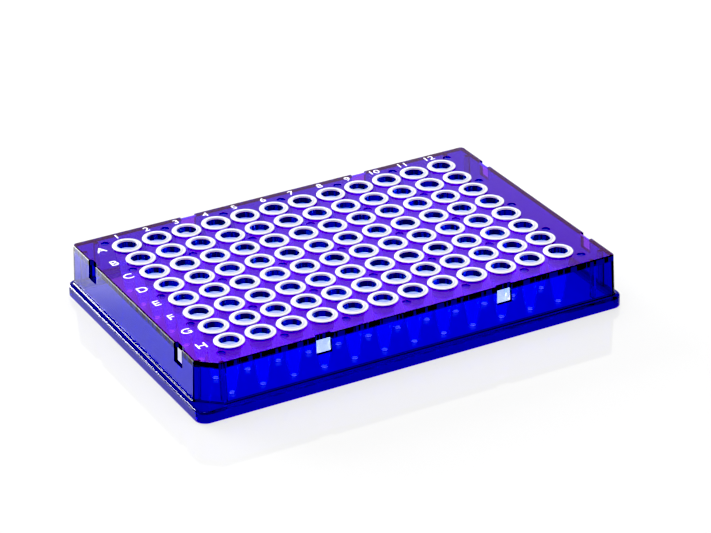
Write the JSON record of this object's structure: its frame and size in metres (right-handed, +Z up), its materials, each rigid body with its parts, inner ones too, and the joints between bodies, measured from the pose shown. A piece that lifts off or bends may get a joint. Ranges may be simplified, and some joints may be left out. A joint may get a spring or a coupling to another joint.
{
  "type": "well plate",
  "caption": "Fully skirted laboratory plate: a tinted clear frame with a grid of separately moulded conical wells set in its deck, for small liquid samples.",
  "frame": {"origin": "centre of the footprint, on the surface that the plate stands on", "axes": "+X from column 1 towards column 12, +Y from row H towards row A, +Z up"},
  "size_m": [0.1278, 0.0854, 0.0159],
  "materials": {
    "frame": "glossy transparent blue-violet polycarbonate",
    "wells": "smooth translucent natural polypropylene",
    "print": "white printed characters"
  },
  "bodies": {
    "root": {"frame": "frame", "wells_column_01": "wells", "wells_column_02": "wells", "wells_column_03": "wells", "wells_column_04": "wells", "wells_column_05": "wells", "wells_column_06": "wells", "wells_column_07": "wells", "wells_column_08": "wells", "wells_column_09": "wells", "wells_column_10": "wells", "wells_column_11": "wells", "wells_column_12": "wells"}
  },
  "joints": []
}
